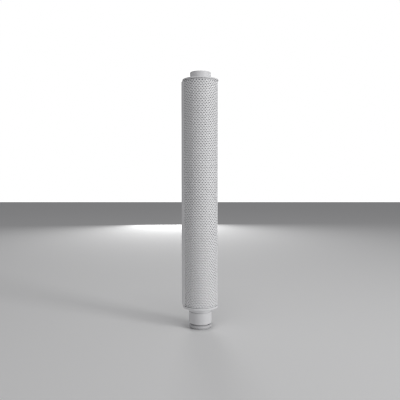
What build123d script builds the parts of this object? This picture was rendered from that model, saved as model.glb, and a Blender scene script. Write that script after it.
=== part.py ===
from build123d import *

import os

# Replaceable cartridge of an inline water filter, in millimetres.
# The axis of the cartridge is Z. It stands on the nose of its outlet spigot at Z = 0,
# with the closed boss on top. The welded lap of the netting is on its left, towards -X.

os.makedirs("parts", exist_ok=True)

# Outlet spigot, from the nose upwards
nose_radius = 11.3
nose_height = 0.8
gland_radius = 9.8
gland_height = 5.4
barrel_radius = 13.48
barrel_height = 13.3
groove_depth = 0.9
groove_height = 0.8
spigot_length = 24.8
outlet_radius = 7.5
outlet_depth = 24.2
mouth_chamfer = 0.6
nose_rounding = 0.2
barrel_rounding = 0.3

# Seal ring
cord_radius = 1.765
ring_clearance = 0.01

# Discs of the two caps, and the boss
flange_radius = 21.2
bottom_flange = 2.4
top_flange = 1.6
boss_radius = 12.1
boss_height = 8.4
boss_wall = 2.4
boss_rounding = 0.6
top_edge_rounding = 0.7
bottom_edge_rounding = 0.4

# Inside faces of the caps: a low lip round the wraps and a plug for the core tube
lip_outer = 19.45
lip_inner = 18.75
lip_height = 3.0
plug_outer = 6.2
plug_bore = 4.7
plug_length = 12.0
hub_radius = 7.9

# The filter element, layer by layer from the axis outwards
core_inner = 6.25
core_outer = 7.75
block_bore = 8.3
block_outer = 18.1
prefilter_outer = 18.7
fleece_outer = 19.5
net_outer = 20.5
element_length = 265.0
potting_height = 1.2
net_gap = 0.8

# Windows of the core tube
window_length = 9.0
window_width = 3.0
window_pitch = 14.0
window_rows = 17
window_pairs = 3

# Welded lap of the netting: a strip that ramps up off the sleeve towards its crest and
# ends in a step. Its angles are in degrees anticlockwise from +X.
seam_outer = 22.35
seam_step = 162.0
seam_crest = 181.0
seam_front = 202.0
seam_front_height = 0.3
crest_rounding = 6.0
seam_rounding = 0.8
seam_gap = 0.3

# Heights of the main faces
barrel_low = nose_height + gland_height
barrel_high = barrel_low + barrel_height
bottom_face = spigot_length + bottom_flange
top_face = bottom_face + element_length
top_flange_high = top_face + top_flange
boss_high = top_flange_high + boss_height
boss_roof = boss_high - boss_wall
block_low = bottom_face + potting_height
block_high = top_face - potting_height


def rims(part, radius, height):
    """The round edges that a turned part has at one radius and height."""
    found = []
    for edge in part.edges().filter_by(GeomType.CIRCLE):
        if abs(edge.radius - radius) < 0.01 and abs(edge.arc_center.Z - height) < 0.01:
            found.append(edge)
    return found


# Lower cap: nose, seal gland, barrel, fine groove and collar below the disc, and the
# lip and the plug above it. The outlet runs up the middle and narrows into the plug.
with BuildPart() as bottom_end_cap:
    with BuildSketch(Plane.XZ):
        with BuildLine():
            Polyline(
                (outlet_radius + mouth_chamfer, 0),
                (nose_radius, 0),
                (nose_radius, nose_height),
                (gland_radius, nose_height),
                (gland_radius, barrel_low),
                (barrel_radius, barrel_low),
                (barrel_radius, barrel_high),
                (barrel_radius - groove_depth, barrel_high),
                (barrel_radius - groove_depth, barrel_high + groove_height),
                (barrel_radius, barrel_high + groove_height),
                (barrel_radius, spigot_length),
                (flange_radius, spigot_length),
                (flange_radius, bottom_face),
                (lip_outer, bottom_face),
                (lip_outer, bottom_face + lip_height),
                (lip_inner, bottom_face + lip_height),
                (lip_inner, bottom_face),
                (plug_outer, bottom_face),
                (plug_outer, bottom_face + plug_length),
                (plug_bore, bottom_face + plug_length),
                (plug_bore, outlet_depth + outlet_radius - plug_bore),
                (outlet_radius, outlet_depth),
                (outlet_radius, mouth_chamfer),
                close=True,
            )
        make_face()
    revolve(axis=Axis.Z)
    fillet(rims(bottom_end_cap, nose_radius, 0), nose_rounding)
    fillet(rims(bottom_end_cap, nose_radius, nose_height), nose_rounding)
    fillet(rims(bottom_end_cap, barrel_radius, barrel_low), barrel_rounding)
    fillet(rims(bottom_end_cap, flange_radius, spigot_length), bottom_edge_rounding)
    fillet(rims(bottom_end_cap, flange_radius, bottom_face), bottom_edge_rounding)
bottom_end_cap.part.label = "bottom_end_cap"
export_step(bottom_end_cap.part, "parts/bottom_end_cap.step")

# Seal ring: round cord that rests on the lower wall of the gland
ring_middle = gland_radius + cord_radius + ring_clearance
ring_height = nose_height + cord_radius + ring_clearance
with BuildPart() as spigot_o_ring:
    with BuildSketch(Plane.XZ):
        with Locations((ring_middle, ring_height)):
            Circle(cord_radius)
    revolve(axis=Axis.Z)
spigot_o_ring.part.label = "spigot_o_ring"
export_step(spigot_o_ring.part, "parts/spigot_o_ring.step")

# Upper cap: a closed boss on the disc, cored out from below round a hub, with the same
# lip and plug as the lower cap on its underside
with BuildPart() as top_end_cap:
    with BuildSketch(Plane.XZ):
        with BuildLine():
            Polyline(
                (0, boss_high),
                (boss_radius, boss_high),
                (boss_radius, top_flange_high),
                (flange_radius, top_flange_high),
                (flange_radius, top_face),
                (lip_outer, top_face),
                (lip_outer, top_face - lip_height),
                (lip_inner, top_face - lip_height),
                (lip_inner, top_face),
                (boss_radius - boss_wall, top_face),
                (boss_radius - boss_wall, boss_roof),
                (hub_radius, boss_roof),
                (hub_radius, top_face),
                (plug_outer, top_face),
                (plug_outer, top_face - plug_length),
                (plug_bore, top_face - plug_length),
                (plug_bore, boss_roof),
                (0, boss_roof),
                close=True,
            )
        make_face()
    revolve(axis=Axis.Z)
    fillet(rims(top_end_cap, boss_radius, boss_high), boss_rounding)
    fillet(rims(top_end_cap, flange_radius, top_flange_high), top_edge_rounding)
    fillet(rims(top_end_cap, flange_radius, top_face), top_edge_rounding)
top_end_cap.part.label = "top_end_cap"
export_step(top_end_cap.part, "parts/top_end_cap.step")

# Core tube: seats on both discs over the plugs. Rows of upright windows run round it,
# and each second row is turned by half a pitch.
window_first = (bottom_face + top_face) / 2 - (window_rows - 1) / 2 * window_pitch
with BuildPart() as core_tube:
    with BuildSketch(Plane.XY.offset(bottom_face)):
        Circle(core_outer)
        Circle(core_inner, mode=Mode.SUBTRACT)
    extrude(amount=element_length)
    for pair in range(2 * window_pairs):
        turn = 90 * pair / window_pairs
        rows = range(pair % 2, window_rows, 2)
        heights = [window_first + row * window_pitch for row in rows]
        with BuildSketch(Plane.XZ.rotated((0, 0, turn))):
            with Locations([(0, height) for height in heights]):
                SlotOverall(window_length, window_width, rotation=90)
        extrude(amount=2 * core_outer, both=True, mode=Mode.SUBTRACT)
core_tube.part.label = "core_tube"
export_step(core_tube.part, "parts/core_tube.step")

# Liner on the bore of the block
with BuildPart() as inner_fleece:
    with BuildSketch(Plane.XY.offset(block_low)):
        Circle(block_bore)
        Circle(core_outer, mode=Mode.SUBTRACT)
    extrude(amount=block_high - block_low)
inner_fleece.part.label = "inner_fleece"
export_step(inner_fleece.part, "parts/inner_fleece.step")

# Pressed activated carbon block
with BuildPart() as carbon_block:
    with BuildSketch(Plane.XY.offset(block_low)):
        Circle(block_outer)
        Circle(block_bore, mode=Mode.SUBTRACT)
    extrude(amount=block_high - block_low)
carbon_block.part.label = "carbon_block"
export_step(carbon_block.part, "parts/carbon_block.step")

# Fine wrap on the block, inside the lips of both caps
with BuildPart() as prefilter_wrap:
    with BuildSketch(Plane.XY.offset(block_low)):
        Circle(prefilter_outer)
        Circle(block_outer, mode=Mode.SUBTRACT)
    extrude(amount=block_high - block_low)
prefilter_wrap.part.label = "prefilter_wrap"
export_step(prefilter_wrap.part, "parts/prefilter_wrap.step")

# Outer wrap, from lip to lip
with BuildPart() as outer_fleece:
    with BuildSketch(Plane.XY.offset(bottom_face + lip_height)):
        Circle(fleece_outer)
        Circle(prefilter_outer, mode=Mode.SUBTRACT)
    extrude(amount=element_length - 2 * lip_height)
outer_fleece.part.label = "outer_fleece"
export_step(outer_fleece.part, "parts/outer_fleece.step")

# Adhesive rings between the ends of the block and the caps
with BuildPart() as bottom_potting:
    with BuildSketch(Plane.XY.offset(bottom_face)):
        Circle(prefilter_outer)
        Circle(core_outer, mode=Mode.SUBTRACT)
    extrude(amount=potting_height)
bottom_potting.part.label = "bottom_potting"
export_step(bottom_potting.part, "parts/bottom_potting.step")

with BuildPart() as top_potting:
    with BuildSketch(Plane.XY.offset(block_high)):
        Circle(prefilter_outer)
        Circle(core_outer, mode=Mode.SUBTRACT)
    extrude(amount=potting_height)
top_potting.part.label = "top_potting"
export_step(top_potting.part, "parts/top_potting.step")

# Netting sleeve, as the plain tube that the netting fills
with BuildPart() as net_sleeve:
    with BuildSketch(Plane.XY.offset(bottom_face + net_gap)):
        Circle(net_outer)
        Circle(fleece_outer, mode=Mode.SUBTRACT)
    extrude(amount=element_length - 2 * net_gap)
net_sleeve.part.label = "net_sleeve"
export_step(net_sleeve.part, "parts/net_sleeve.step")

# Welded lap of the netting, a solid strip that stands proud of the sleeve
with BuildPart() as net_seam_strip:
    with BuildSketch(Plane.XY.offset(bottom_face + seam_gap)) as seam_section:
        with BuildLine():
            crest = CenterArc((0, 0), seam_outer, seam_step, seam_crest - seam_step)
            inside = CenterArc((0, 0), net_outer, seam_step, seam_front - seam_step)
            step = Line(crest @ 0, inside @ 0)
            front_edge = PolarLine(inside @ 1, seam_front_height, seam_front)
            ramp = Line(crest @ 1, front_edge @ 1)
        make_face()
        corners = seam_section.vertices()
        fillet(corners.sort_by_distance(crest @ 1)[0], crest_rounding)
        fillet(seam_section.vertices().sort_by_distance(crest @ 0)[0], seam_rounding)
    extrude(amount=element_length - 2 * seam_gap)
net_seam_strip.part.label = "net_seam_strip"
export_step(net_seam_strip.part, "parts/net_seam_strip.step")
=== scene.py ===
import math

import bpy
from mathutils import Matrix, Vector


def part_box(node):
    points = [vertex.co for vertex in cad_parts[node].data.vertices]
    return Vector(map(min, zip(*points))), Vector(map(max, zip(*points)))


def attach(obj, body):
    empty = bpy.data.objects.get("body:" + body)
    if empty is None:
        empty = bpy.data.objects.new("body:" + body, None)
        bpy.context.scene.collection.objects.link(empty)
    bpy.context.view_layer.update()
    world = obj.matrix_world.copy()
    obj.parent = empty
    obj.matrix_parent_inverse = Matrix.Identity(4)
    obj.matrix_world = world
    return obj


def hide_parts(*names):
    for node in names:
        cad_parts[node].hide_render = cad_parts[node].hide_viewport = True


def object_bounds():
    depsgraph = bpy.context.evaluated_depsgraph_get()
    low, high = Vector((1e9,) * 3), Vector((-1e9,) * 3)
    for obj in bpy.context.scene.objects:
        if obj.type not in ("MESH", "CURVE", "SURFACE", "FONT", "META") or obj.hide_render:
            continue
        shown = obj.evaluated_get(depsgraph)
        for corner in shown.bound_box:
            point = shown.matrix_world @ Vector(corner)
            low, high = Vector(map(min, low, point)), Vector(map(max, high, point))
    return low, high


# Replaceable cartridge of an inline water filter, in metres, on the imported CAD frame.
# The netting, its welded lap and the rolled wraps are built here as meshes. The caps, the
# seal ring and the inner pieces stay as the CAD made them and get their materials here.

MM = 0.001
FULL_TURN = 2 * math.pi

# Netting: two layers of strands, welded into upright joints where they meet. The joints
# stand in rows, each row half a mesh along from the one below. Reach says how far a joint
# goes up and down from its middle, in rows.
MESHES_AROUND = 38
ROW_HEIGHT = 1.945 * MM
JOINT_REACH = 0.42
STRAND_WIDTH = 1.05 * MM
STRAND_DEPTH = 0.95 * MM
STRAND_SIDES = 8
STRAND_SQUARENESS = 3.0
LAYER_OFFSET = 0.02 * MM
JOINT_ANGLE = math.radians(270)
JOINT_HEIGHT = 150.0 * MM

# Welded lap of the netting. Angles run anticlockwise from +X, seen from above.
LAP_STEP_ANGLE = math.radians(162)
LAP_CREST_ANGLE = math.radians(181)
LAP_FRONT_TOP = math.radians(199.5)
LAP_FRONT_BOTTOM = math.radians(206)
LAP_SINK = 0.5 * MM
LAP_FRONT_HEIGHT = 0.3 * MM
LAP_END = 1.5 * MM
LAP_END_DROP = 0.5
LAP_WAVE = 0.04 * MM

# Rolled wraps, each one layer of sheet with a butt joint
WRAP_STEPS = 180
WRAP_ROWS = 40
WRAP_JOINT_GAP = 0.3 * MM
WRAP_SLACK = 0.03 * MM

# Stage
FLOOR_SIZE = 6.0
FLOOR_GAP = 0.02 * MM
FLOOR_WHITE = (0.8, 0.8, 0.8)

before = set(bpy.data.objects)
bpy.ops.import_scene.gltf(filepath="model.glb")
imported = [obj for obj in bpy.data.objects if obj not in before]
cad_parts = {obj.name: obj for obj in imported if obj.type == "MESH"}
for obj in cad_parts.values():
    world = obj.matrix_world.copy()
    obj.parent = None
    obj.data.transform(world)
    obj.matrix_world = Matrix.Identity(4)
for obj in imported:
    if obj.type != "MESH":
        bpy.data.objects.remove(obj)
cad_low, cad_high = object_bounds()


def outer_radius(node):
    """Outer radius of a turned CAD node."""
    low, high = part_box(node)
    return (high.y - low.y) / 2


def on_axis(radius, angle, height):
    """The point at a radius, an angle from +X and a height."""
    return Vector((radius * math.cos(angle), radius * math.sin(angle), height))


def new_piece(name, points, faces):
    """A mesh object made of points and faces, that rides on the cartridge's one body."""
    mesh = bpy.data.meshes.new(name)
    mesh.from_pydata(points, [], faces)
    mesh.validate()
    mesh.shade_smooth()
    piece = bpy.data.objects.new(name, mesh)
    bpy.context.scene.collection.objects.link(piece)
    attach(piece, "root")
    return piece


def tube_walls(first, rings, sides):
    """Faces between the rings of a tube, whose points follow each other from number first."""
    faces = []
    for ring in range(rings - 1):
        for side in range(sides):
            low = first + ring * sides
            high = low + sides
            after = (side + 1) % sides
            faces.append([low + side, low + after, high + after, high + side])
    return faces


def tube_faces(first, rings, sides):
    """Faces of a tube that is closed at both ends."""
    last = first + (rings - 1) * sides
    faces = tube_walls(first, rings, sides)
    faces.append([first + side for side in reversed(range(sides))])
    faces.append([last + side for side in range(sides)])
    return faces


# ---------------------------------------------------------------- materials


def noise(tree, scale, stretch=(1, 1, 1), detail=2.0, where="Object"):
    """Noise with about scale features to the metre, drawn out along the axes with less stretch."""
    place = tree.nodes.new("ShaderNodeTexCoord")
    mapping = tree.nodes.new("ShaderNodeMapping")
    mapping.inputs["Scale"].default_value = stretch
    texture = tree.nodes.new("ShaderNodeTexNoise")
    texture.inputs["Scale"].default_value = scale
    texture.inputs["Detail"].default_value = detail
    tree.links.new(place.outputs[where], mapping.inputs["Vector"])
    tree.links.new(mapping.outputs["Vector"], texture.inputs["Vector"])
    return texture.outputs["Fac"]


def blend_colors(tree, amount, dark, light):
    """A colour that goes from dark to light as amount goes through the middle of its range."""
    ramp = tree.nodes.new("ShaderNodeValToRGB")
    ramp.color_ramp.elements[0].position = 0.3
    ramp.color_ramp.elements[0].color = (*dark, 1)
    ramp.color_ramp.elements[1].position = 0.7
    ramp.color_ramp.elements[1].color = (*light, 1)
    tree.links.new(amount, ramp.inputs["Fac"])
    return ramp.outputs["Color"]


def spread_over(tree, amount, low, high):
    """A value that goes from low to high as amount goes through the middle of its range."""
    spread = tree.nodes.new("ShaderNodeMapRange")
    spread.inputs["From Min"].default_value = 0.3
    spread.inputs["From Max"].default_value = 0.7
    spread.inputs["To Min"].default_value = low
    spread.inputs["To Max"].default_value = high
    tree.links.new(amount, spread.inputs["Value"])
    return spread.outputs["Result"]


def raise_by(tree, amount, depth):
    """A bump as high as depth where amount is 1."""
    bump = tree.nodes.new("ShaderNodeBump")
    bump.inputs["Distance"].default_value = depth
    tree.links.new(amount, bump.inputs["Height"])
    return bump.outputs["Normal"]


def new_material(name):
    """An empty material, its node tree and its shader."""
    material = bpy.data.materials.new(name)
    material.use_nodes = True
    tree = material.node_tree
    return material, tree, tree.nodes["Principled BSDF"]


def moulded_plastic(name, dark, light, rough=(0.38, 0.5), grain=2500, depth=0.012 * MM):
    """Satin moulded plastic: faint flow marks, uneven gloss and a fine grain."""
    material, tree, shader = new_material(name)
    flow = noise(tree, 60, stretch=(1, 1, 0.3))
    tree.links.new(blend_colors(tree, flow, dark, light), shader.inputs["Base Color"])
    gloss = noise(tree, 350)
    tree.links.new(spread_over(tree, gloss, *rough), shader.inputs["Roughness"])
    fine = noise(tree, grain)
    tree.links.new(raise_by(tree, fine, depth), shader.inputs["Normal"])
    return material


def seal_rubber(name, dark, light):
    """Moulded rubber: dull, with a soft sheen from the mould and faint dust."""
    material, tree, shader = new_material(name)
    dust = noise(tree, 220, detail=5.0)
    tree.links.new(blend_colors(tree, dust, dark, light), shader.inputs["Base Color"])
    tree.links.new(spread_over(tree, dust, 0.5, 0.68), shader.inputs["Roughness"])
    skin = noise(tree, 3500)
    tree.links.new(raise_by(tree, skin, 0.008 * MM), shader.inputs["Normal"])
    return material


def non_woven(name, dark, light):
    """Non-woven sheet: cloudy where its fibres lie thicker, with fibres both ways along it."""
    material, tree, shader = new_material(name)
    cloud = noise(tree, 140, detail=4.0, where="UV")
    tree.links.new(blend_colors(tree, cloud, dark, light), shader.inputs["Base Color"])
    shader.inputs["Roughness"].default_value = 0.95
    shader.inputs["Sheen Weight"].default_value = 0.15
    along = noise(tree, 5000, stretch=(0.08, 1, 1), detail=3.0, where="UV")
    upright = noise(tree, 5000, stretch=(1, 0.08, 1), detail=3.0, where="UV")
    fibres = tree.nodes.new("ShaderNodeMath")
    fibres.operation = "MAXIMUM"
    tree.links.new(along, fibres.inputs[0])
    tree.links.new(upright, fibres.inputs[1])
    tree.links.new(raise_by(tree, fibres.outputs["Value"], 0.08 * MM), shader.inputs["Normal"])
    return material


def pressed_grains(name, dark, light):
    """Grains pressed into a block: dark faces, paler dust between them and an uneven surface."""
    material, tree, shader = new_material(name)
    dust = noise(tree, 300, detail=4.0)
    tree.links.new(blend_colors(tree, dust, dark, light), shader.inputs["Base Color"])
    facets = noise(tree, 1600, detail=1.0)
    tree.links.new(spread_over(tree, facets, 0.55, 0.95), shader.inputs["Roughness"])
    grains = noise(tree, 1600, detail=4.0)
    tree.links.new(raise_by(tree, grains, 0.25 * MM), shader.inputs["Normal"])
    return material


CAP_PLASTIC = moulded_plastic("cap_plastic", (0.79, 0.79, 0.80), (0.83, 0.83, 0.84))
NET_PLASTIC = moulded_plastic("net_plastic", (0.86, 0.86, 0.87), (0.90, 0.90, 0.91), rough=(0.42, 0.55))
CORE_PLASTIC = moulded_plastic("core_plastic", (0.76, 0.77, 0.76), (0.80, 0.81, 0.80))
ADHESIVE = moulded_plastic("adhesive", (0.74, 0.70, 0.56), (0.80, 0.76, 0.64), rough=(0.2, 0.35), grain=300)
SEAL_RUBBER = seal_rubber("seal_rubber", (0.62, 0.62, 0.63), (0.68, 0.68, 0.69))
FLEECE = non_woven("fleece", (0.86, 0.86, 0.86), (0.93, 0.93, 0.93))
PREFILTER = non_woven("prefilter", (0.86, 0.86, 0.83), (0.91, 0.91, 0.88))
CARBON = pressed_grains("carbon", (0.010, 0.010, 0.011), (0.05, 0.05, 0.052))


# ---------------------------------------------------------------- netting


def strand_section():
    """The section of a strand, a box with rounded corners, from -1 to 1 both ways."""
    corners = []
    for side in range(STRAND_SIDES):
        turn = FULL_TURN * (side + 0.5) / STRAND_SIDES
        across = math.copysign(abs(math.cos(turn)) ** (2 / STRAND_SQUARENESS), math.cos(turn))
        outwards = math.copysign(abs(math.sin(turn)) ** (2 / STRAND_SQUARENESS), math.sin(turn))
        corners.append((across, outwards))
    return corners


def rows_climbed(height):
    """How many rows of joints a strand has gone along: it stays put in a joint."""
    rows = (height - JOINT_HEIGHT) / ROW_HEIGHT
    joint = round(rows)
    past_joint = max(abs(rows - joint) - JOINT_REACH, 0)
    return joint + math.copysign(past_joint / (1 - 2 * JOINT_REACH), rows - joint)


def strand_steps(low, high, half_mesh):
    """Heights of a strand's rings, with the rows it has gone along there and the ring's slope."""
    run = math.atan2(ROW_HEIGHT * (1 - 2 * JOINT_REACH), half_mesh)
    slope = math.tan((math.pi / 2 - run) / 2)
    clearance = slope * STRAND_WIDTH / 2
    first = math.floor((low - JOINT_HEIGHT) / ROW_HEIGHT)
    last = math.ceil((high - JOINT_HEIGHT) / ROW_HEIGHT)
    steps = [(low, rows_climbed(low), 0)]
    for row in range(first, last + 1):
        for side in (-1, 1):
            height = JOINT_HEIGHT + ROW_HEIGHT * (row + side * JOINT_REACH)
            if low + clearance < height < high - clearance:
                steps.append((height, row, slope))
    steps.append((high, rows_climbed(high), 0))
    return steps


def net_layer(name, hand, inside):
    """The strands of one hand. They are cut level at both ends of the sleeve."""
    low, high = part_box("net_sleeve")
    section = strand_section()
    mesh_angle = FULL_TURN / MESHES_AROUND
    steps = strand_steps(low.z, high.z, mesh_angle * inside / 2)
    points = []
    faces = []
    for strand in range(MESHES_AROUND):
        faces += tube_faces(len(points), len(steps), STRAND_SIDES)
        for height, rows, slope in steps:
            angle = JOINT_ANGLE + mesh_angle * (strand + hand * rows / 2)
            for across, outwards in section:
                along = STRAND_WIDTH / 2 * across
                radius = inside + STRAND_DEPTH * (1 + outwards) / 2
                points.append(on_axis(radius, angle - along / inside, height + hand * slope * along))
    layer = new_piece(name, points, faces)
    layer.data.set_sharp_from_angle(angle=math.radians(40))
    layer.data.materials.append(NET_PLASTIC)
    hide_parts("net_sleeve")
    return layer


def netting():
    """Both layers, out to the outer face of the sleeve. Their joints almost coincide."""
    inside = outer_radius("net_sleeve") - STRAND_DEPTH
    net_layer("net_right_strands", 1, inside)
    net_layer("net_left_strands", -1, inside - LAYER_OFFSET)


def lap_profile(front_angle, crest):
    """Half of the lap's section, from the step to the front edge, as angles and heights."""
    net = outer_radius("net_sleeve")
    rise = crest - net
    profile = []
    for step in range(7):
        turn = math.pi / 2 * step / 6
        profile.append((LAP_STEP_ANGLE + 0.035 * (1 - math.cos(turn)), rise * math.sin(turn)))
    flat_from = LAP_STEP_ANGLE + 0.035
    for step in range(1, 9):
        share = step / 8
        angle = flat_from + (LAP_CREST_ANGLE - flat_from) * share
        profile.append((angle, rise))
    for step in range(1, 11):
        share = step / 10
        angle = LAP_CREST_ANGLE + (front_angle - LAP_CREST_ANGLE) * share
        profile.append((angle, rise + (LAP_FRONT_HEIGHT - rise) * share))
    profile.append((front_angle + 0.008, LAP_FRONT_HEIGHT / 2))
    return profile


def net_lap():
    """The welded lap: a smooth strip sunk into the outer strands, rounded at both ends."""
    low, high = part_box("net_seam_strip")
    net = outer_radius("net_sleeve")
    crest = -low.x
    ends = [LAP_END * share for share in (0, 0.02, 0.1, 0.25, 0.45, 0.7, 1.0)]
    heights = [low.z + end for end in ends]
    inner_steps = 40
    for step in range(1, inner_steps):
        heights.append(low.z + LAP_END + (high.z - low.z - 2 * LAP_END) * step / inner_steps)
    heights += [high.z - end for end in reversed(ends)]
    points = []
    for height in heights:
        up = (height - low.z) / (high.z - low.z)
        front = LAP_FRONT_BOTTOM + (LAP_FRONT_TOP - LAP_FRONT_BOTTOM) * up
        from_end = min(height - low.z, high.z - height, LAP_END) / LAP_END
        rounding = math.sqrt(1 - LAP_END_DROP * (1 - from_end) ** 2)
        wave = LAP_WAVE * math.sin(height / (9 * MM)) * math.sin(height / (23 * MM))
        profile = lap_profile(front, crest - LAP_WAVE)
        for angle, rise in profile:
            points.append(on_axis(net - LAP_SINK + (rise + LAP_SINK + wave) * rounding, angle, height))
        for angle, rise in reversed(profile):
            points.append(on_axis(net - LAP_SINK, angle, height))
    sides = 2 * len(lap_profile(LAP_FRONT_TOP, crest))
    lap = new_piece("net_welded_lap", points, tube_faces(0, len(heights), sides))
    lap.data.materials.append(NET_PLASTIC)
    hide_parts("net_seam_strip")


# ---------------------------------------------------------------- wraps


def wrap_section(inside, outside, joint_angle):
    """A rolled sheet seen from above: round its outer face and back round its inner face."""
    half_gap = WRAP_JOINT_GAP / (inside + outside)
    section = []
    for step in range(WRAP_STEPS + 1):
        share = step / WRAP_STEPS
        angle = joint_angle + half_gap + (FULL_TURN - 2 * half_gap) * share
        section.append((outside, angle, share))
    back = [(inside, angle, share) for _, angle, share in reversed(section)]
    return section + back


def wrap_faces(rings, sides):
    """Faces of a rolled sheet, whose ends are strips between its outer and its inner face."""
    faces = tube_walls(0, rings, sides)
    last = (rings - 1) * sides
    for step in range(sides // 2 - 1):
        strip = [step, step + 1, sides - 2 - step, sides - 1 - step]
        faces.append([last + corner for corner in strip])
        faces.append(strip[::-1])
    return faces


def wrap(name, node, around, joint_angle, material):
    """A one-layer wrap in a CAD tube's place, rolled round another node and butted at its joint."""
    low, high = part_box(node)
    outside = outer_radius(node) - WRAP_SLACK
    inside = outer_radius(around) + WRAP_SLACK
    width = math.pi * (outside + inside) - WRAP_JOINT_GAP
    section = wrap_section(inside, outside, joint_angle)
    points = []
    coordinates = []
    for row in range(WRAP_ROWS + 1):
        height = low.z + (high.z - low.z) * row / WRAP_ROWS
        for radius, angle, share in section:
            points.append(on_axis(radius, angle, height))
            coordinates.append((share * width, height))
    sheet = new_piece(name, points, wrap_faces(WRAP_ROWS + 1, len(section)))
    layer = sheet.data.uv_layers.new(name="sheet")
    for loop in sheet.data.loops:
        layer.data[loop.index].uv = coordinates[loop.vertex_index]
    sheet.data.set_sharp_from_angle(angle=math.radians(40))
    sheet.data.materials.append(material)
    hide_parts(node)


def wraps():
    """The liner on the bore of the block, and both wraps outside the block."""
    wrap("liner_sheet", "inner_fleece", "core_tube", math.radians(90), FLEECE)
    wrap("prefilter_sheet", "prefilter_wrap", "carbon_block", math.radians(20), PREFILTER)
    wrap("outer_fleece_sheet", "outer_fleece", "prefilter_wrap", math.radians(172), FLEECE)


# ---------------------------------------------------------------- CAD nodes that stay


def dress(node, material):
    """Gives a CAD node its material."""
    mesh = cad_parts[node].data
    mesh.materials.clear()
    mesh.materials.append(material)


# ---------------------------------------------------------------- stage


def floor_matte():
    """A plain pale matte floor."""
    material = bpy.data.materials.new("floor_matte")
    material.use_nodes = True
    shader = material.node_tree.nodes["Principled BSDF"]
    shader.inputs["Base Color"].default_value = (*FLOOR_WHITE, 1)
    shader.inputs["Roughness"].default_value = 1.0
    return material


def studio_floor():
    """The floor that the cartridge stands on."""
    half = FLOOR_SIZE / 2
    corners = [(-half, -half), (half, -half), (half, half), (-half, half)]
    mesh = bpy.data.meshes.new("studio_floor")
    mesh.from_pydata([(x, y, -FLOOR_GAP) for x, y in corners], [], [(0, 1, 2, 3)])
    mesh.materials.append(floor_matte())
    floor = bpy.data.objects.new("studio_floor", mesh)
    bpy.context.scene.collection.objects.link(floor)


def studio_world():
    """White behind everything, and a soft grey light from all round."""
    world = bpy.data.worlds.new("studio")
    bpy.context.scene.world = world
    world.use_nodes = True
    tree = world.node_tree
    tree.nodes.clear()
    seen = tree.nodes.new("ShaderNodeBackground")
    seen.inputs["Color"].default_value = (1, 1, 1, 1)
    light = tree.nodes.new("ShaderNodeBackground")
    light.inputs["Color"].default_value = (0.24, 0.24, 0.245, 1)
    path = tree.nodes.new("ShaderNodeLightPath")
    mix = tree.nodes.new("ShaderNodeMixShader")
    output = tree.nodes.new("ShaderNodeOutputWorld")
    tree.links.new(path.outputs["Is Camera Ray"], mix.inputs["Fac"])
    tree.links.new(light.outputs["Background"], mix.inputs[1])
    tree.links.new(seen.outputs["Background"], mix.inputs[2])
    tree.links.new(mix.outputs["Shader"], output.inputs["Surface"])


def softbox(name, azimuth, elevation, distance, size, watts):
    """A softbox aimed at the middle of the cartridge, azimuth degrees to the right of the camera."""
    light = bpy.data.lights.new(name, "AREA")
    light.shape = "RECTANGLE"
    light.size, light.size_y = size
    light.energy = watts
    lamp = bpy.data.objects.new(name, light)
    middle = (cad_low + cad_high) / 2
    around = math.radians(azimuth)
    up = math.radians(elevation)
    away = Vector((math.sin(around) * math.cos(up), -math.cos(around) * math.cos(up), math.sin(up)))
    lamp.location = middle + distance * away
    lamp.rotation_euler = away.to_track_quat("Z", "Y").to_euler()
    bpy.context.scene.collection.objects.link(lamp)


def camera():
    """A camera a little above the middle of the cartridge, looking slightly down."""
    data = bpy.data.cameras.new("camera")
    data.lens = 42.8
    data.sensor_width = 36.0
    eye = bpy.data.objects.new("camera", data)
    eye.location = (-0.5 * MM, -564.5 * MM, 178.2 * MM)
    eye.rotation_euler = (math.radians(90 - 2.6), 0, 0)
    bpy.context.scene.collection.objects.link(eye)
    bpy.context.scene.camera = eye


camera()
studio_floor()
studio_world()
softbox("key", azimuth=58, elevation=12, distance=1.2, size=(0.3, 0.9), watts=6.0)
softbox("back", azimuth=185, elevation=15, distance=1.2, size=(0.3, 0.9), watts=3.0)
softbox("overhead", azimuth=10, elevation=75, distance=1.0, size=(0.5, 0.5), watts=2.5)
bpy.context.scene.view_settings.view_transform = "Standard"
bpy.context.scene.cycles.pixel_filter_type = "BOX"
bpy.context.scene.cycles.filter_width = 1.0

netting()
net_lap()
wraps()
dress("bottom_end_cap", CAP_PLASTIC)
dress("top_end_cap", CAP_PLASTIC)
dress("spigot_o_ring", SEAL_RUBBER)
dress("core_tube", CORE_PLASTIC)
dress("carbon_block", CARBON)
dress("bottom_potting", ADHESIVE)
dress("top_potting", ADHESIVE)
